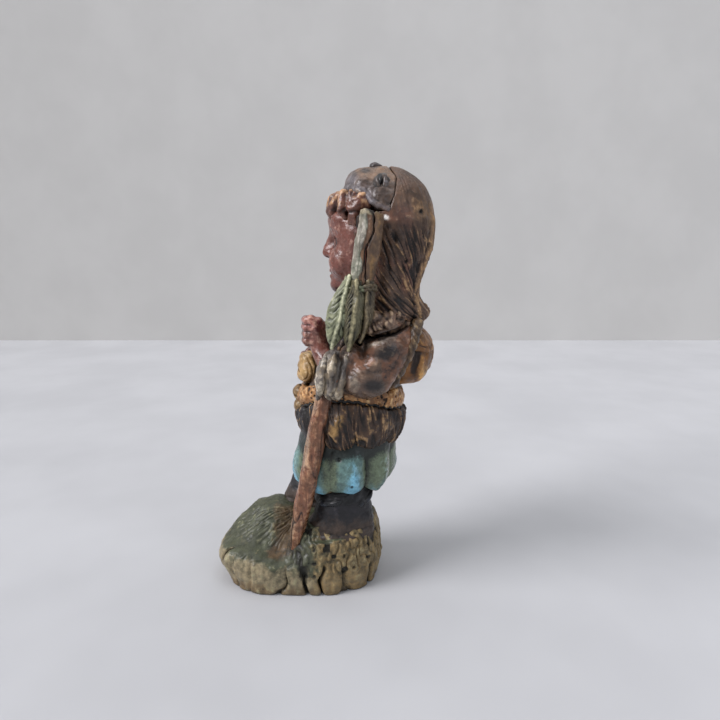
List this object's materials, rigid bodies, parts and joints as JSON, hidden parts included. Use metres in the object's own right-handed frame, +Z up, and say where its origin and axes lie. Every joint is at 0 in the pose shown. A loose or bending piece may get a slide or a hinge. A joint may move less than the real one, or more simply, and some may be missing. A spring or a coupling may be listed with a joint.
{
  "type": "garden gnome figurine",
  "caption": "Small painted resin gnome walker with a long hair-like hood, backpack, leafy split-log staff and layered skirts, standing on a fluted mossy rock base.",
  "frame": {"origin": "middle of the base's flat underside", "axes": "+Z up, +X towards the figure's left side, -Y the way the figure looks"},
  "size_m": [0.0345, 0.0524, 0.098],
  "materials": {
    "ground_moss": "satin painted resin",
    "boot_leather": "satin painted resin",
    "trouser_cloth": "satin painted resin",
    "skirt_cloth": "satin painted resin",
    "kilt_fur": "satin painted resin",
    "belt_cord": "satin painted resin",
    "belt_knot": "satin painted resin",
    "fleece": "satin painted resin",
    "jacket_hide": "satin painted resin",
    "sleeve_hide": "satin painted resin",
    "collar_fur": "satin painted resin",
    "strap_leather": "satin painted resin",
    "pouch_leather": "satin painted resin",
    "pack_leather": "satin painted resin",
    "skin": "glossy painted resin",
    "hair": "satin painted resin",
    "cap_hide": "satin painted resin",
    "fringe_hair": "satin painted resin",
    "staff_wood": "satin painted resin",
    "log_bark": "satin painted resin",
    "log_core": "satin painted resin",
    "leaf_green": "satin painted resin",
    "leaf_cord": "satin painted resin"
  },
  "bodies": {
    "root": {"base_mound": "ground_moss", "left_boot": "boot_leather", "right_boot": "boot_leather", "left_trouser_leg": "trouser_cloth", "right_trouser_leg": "trouser_cloth", "skirt": "skirt_cloth", "fur_kilt": "kilt_fur", "belt_cord": "belt_cord", "belt_knot": "belt_knot", "fleece_hem": "fleece", "jacket_body": "jacket_hide", "left_sleeve": "sleeve_hide", "right_sleeve": "sleeve_hide", "left_cuff": "sleeve_hide", "right_cuff": "sleeve_hide", "fur_collar": "collar_fur", "left_pack_strap": "strap_leather", "right_pack_strap": "strap_leather", "front_pouch": "pouch_leather", "backpack": "pack_leather", "backpack_flap": "pack_leather", "head": "skin", "left_hand": "skin", "right_hand": "skin", "hair": "hair", "cap": "cap_hide", "cap_button": "cap_hide", "left_cap_ear": "cap_hide", "right_cap_ear": "cap_hide", "fringe": "fringe_hair", "staff_shaft": "staff_wood", "log_bark": "log_bark", "log_core": "log_core", "front_leaf": "leaf_green", "middle_leaf": "leaf_green", "rear_leaf": "leaf_green", "leaf_cord": "leaf_cord"}
  },
  "joints": []
}
